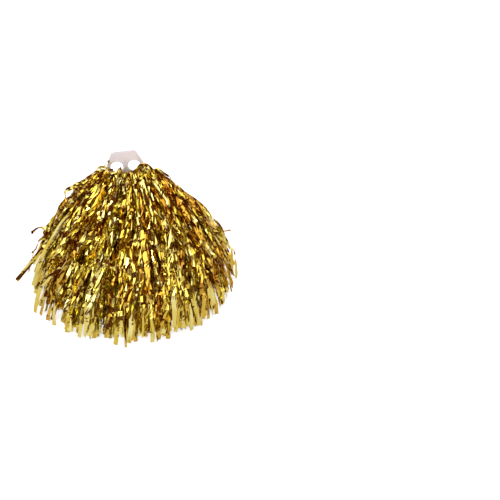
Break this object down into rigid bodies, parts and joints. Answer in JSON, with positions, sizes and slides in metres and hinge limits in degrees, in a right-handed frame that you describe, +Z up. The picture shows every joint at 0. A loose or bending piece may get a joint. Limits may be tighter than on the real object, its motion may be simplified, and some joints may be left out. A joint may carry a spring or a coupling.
{
  "type": "cheer pom pom",
  "caption": "Hand-held cheer pom pom: two-hole plastic handle plate over a standing dome of slit gold metallised film strips that swing out in hanks.",
  "frame": {"origin": "on the standing surface, under the middle of the dome", "axes": "+Z up through the neck to the handle; the plate's front face looks along -Y; +X to the right of it"},
  "size_m": [0.3564, 0.3564, 0.265],
  "materials": {
    "gold_film": "polished",
    "handle_plastic": "satin",
    "tie_nylon": "satin"
  },
  "bodies": {
    "film_core": {"core_hank_01": "gold_film", "core_hank_02": "gold_film", "core_hank_03": "gold_film", "core_hank_04": "gold_film", "core_hank_05": "gold_film", "core_hank_06": "gold_film", "folded_film_left": "gold_film", "folded_film_right": "gold_film", "cable_tie": "tie_nylon"},
    "handle": {"handle_plate": "handle_plastic"},
    "outer_hank_01": {"outer_hank_01": "gold_film"},
    "outer_hank_02": {"outer_hank_02": "gold_film"},
    "outer_hank_03": {"outer_hank_03": "gold_film"},
    "outer_hank_04": {"outer_hank_04": "gold_film"},
    "outer_hank_05": {"outer_hank_05": "gold_film"},
    "outer_hank_06": {"outer_hank_06": "gold_film"},
    "outer_hank_07": {"outer_hank_07": "gold_film"},
    "outer_hank_08": {"outer_hank_08": "gold_film"},
    "outer_hank_09": {"outer_hank_09": "gold_film"},
    "outer_hank_10": {"outer_hank_10": "gold_film"},
    "outer_hank_11": {"outer_hank_11": "gold_film"},
    "outer_hank_12": {"outer_hank_12": "gold_film"}
  },
  "joints": [
    {"name": "handle_rock", "type": "hinge", "parent": "film_core", "child": "handle", "pos_m": [0, 0, 0.2055], "axis": [0.9903, 0, 0.1392], "range_deg": [-25, 12], "stiffness_Nm_per_rad": 0.004},
    {"name": "hank_swing_01", "type": "hinge", "parent": "film_core", "child": "outer_hank_01", "pos_m": [0.00453, -0.0169, 0.2112], "axis": [-0.9659, -0.2588, 0], "range_deg": [0, 45]},
    {"name": "hank_swing_02", "type": "hinge", "parent": "film_core", "child": "outer_hank_02", "pos_m": [0.01237, -0.01237, 0.2112], "axis": [-0.7071, -0.7071, 0], "range_deg": [0, 45]},
    {"name": "hank_swing_03", "type": "hinge", "parent": "film_core", "child": "outer_hank_03", "pos_m": [0.0169, -0.00453, 0.2112], "axis": [-0.2588, -0.9659, 0], "range_deg": [0, 45]},
    {"name": "hank_swing_04", "type": "hinge", "parent": "film_core", "child": "outer_hank_04", "pos_m": [0.0169, 0.00453, 0.2112], "axis": [0.2588, -0.9659, 0], "range_deg": [0, 45]},
    {"name": "hank_swing_05", "type": "hinge", "parent": "film_core", "child": "outer_hank_05", "pos_m": [0.01237, 0.01237, 0.2112], "axis": [0.7071, -0.7071, 0], "range_deg": [0, 45]},
    {"name": "hank_swing_06", "type": "hinge", "parent": "film_core", "child": "outer_hank_06", "pos_m": [0.00453, 0.0169, 0.2112], "axis": [0.9659, -0.2588, 0], "range_deg": [0, 45]},
    {"name": "hank_swing_07", "type": "hinge", "parent": "film_core", "child": "outer_hank_07", "pos_m": [-0.00453, 0.0169, 0.2112], "axis": [0.9659, 0.2588, 0], "range_deg": [0, 45]},
    {"name": "hank_swing_08", "type": "hinge", "parent": "film_core", "child": "outer_hank_08", "pos_m": [-0.01237, 0.01237, 0.2112], "axis": [0.7071, 0.7071, 0], "range_deg": [0, 45]},
    {"name": "hank_swing_09", "type": "hinge", "parent": "film_core", "child": "outer_hank_09", "pos_m": [-0.0169, 0.00453, 0.2112], "axis": [0.2588, 0.9659, 0], "range_deg": [0, 45]},
    {"name": "hank_swing_10", "type": "hinge", "parent": "film_core", "child": "outer_hank_10", "pos_m": [-0.0169, -0.00453, 0.2112], "axis": [-0.2588, 0.9659, 0], "range_deg": [0, 45]},
    {"name": "hank_swing_11", "type": "hinge", "parent": "film_core", "child": "outer_hank_11", "pos_m": [-0.01237, -0.01237, 0.2112], "axis": [-0.7071, 0.7071, 0], "range_deg": [0, 45]},
    {"name": "hank_swing_12", "type": "hinge", "parent": "film_core", "child": "outer_hank_12", "pos_m": [-0.00453, -0.0169, 0.2112], "axis": [-0.9659, 0.2588, 0], "range_deg": [0, 45]}
  ]
}
